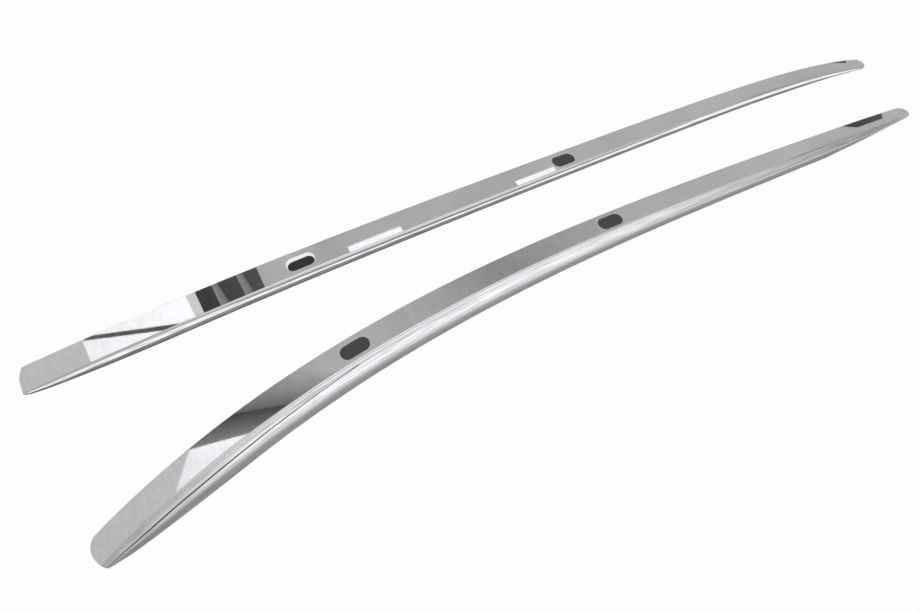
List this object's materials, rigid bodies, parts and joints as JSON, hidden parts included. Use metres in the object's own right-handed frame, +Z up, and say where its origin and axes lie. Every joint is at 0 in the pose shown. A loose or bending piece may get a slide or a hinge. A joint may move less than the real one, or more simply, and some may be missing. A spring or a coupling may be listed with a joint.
{
  "type": "roof side rail pair",
  "caption": "Mirrored pair of polished, arched roof side rails with a flat top, obround cross-bar slots with dark covers, and threaded fixings inside an open channel.",
  "frame": {"origin": "centre of the pair's box on the floor the rails rest on", "axes": "+X from the front ends to the rear ends, +Y from the left rail to the right rail, +Z up"},
  "size_m": [1.6466, 0.3162, 0.1082],
  "materials": {
    "polished_rail": "bright polished and anodised, mirror-like",
    "slot_cover": "fine matte grain",
    "mounting_block": "plain milled",
    "sealing_pad": "soft matte"
  },
  "bodies": {
    "root": {"left_rail_body": "polished_rail", "left_front_slot_cover": "slot_cover", "left_rear_slot_cover": "slot_cover", "left_front_block": "mounting_block", "left_front_pad": "sealing_pad", "left_mid_front_block": "mounting_block", "left_mid_front_pad": "sealing_pad", "left_mid_rear_block": "mounting_block", "left_mid_rear_pad": "sealing_pad", "left_rear_block": "mounting_block", "left_rear_pad": "sealing_pad", "right_rail_body": "polished_rail", "right_front_slot_cover": "slot_cover", "right_rear_slot_cover": "slot_cover", "right_front_block": "mounting_block", "right_front_pad": "sealing_pad", "right_mid_front_block": "mounting_block", "right_mid_front_pad": "sealing_pad", "right_mid_rear_block": "mounting_block", "right_mid_rear_pad": "sealing_pad", "right_rear_block": "mounting_block", "right_rear_pad": "sealing_pad"}
  },
  "joints": []
}
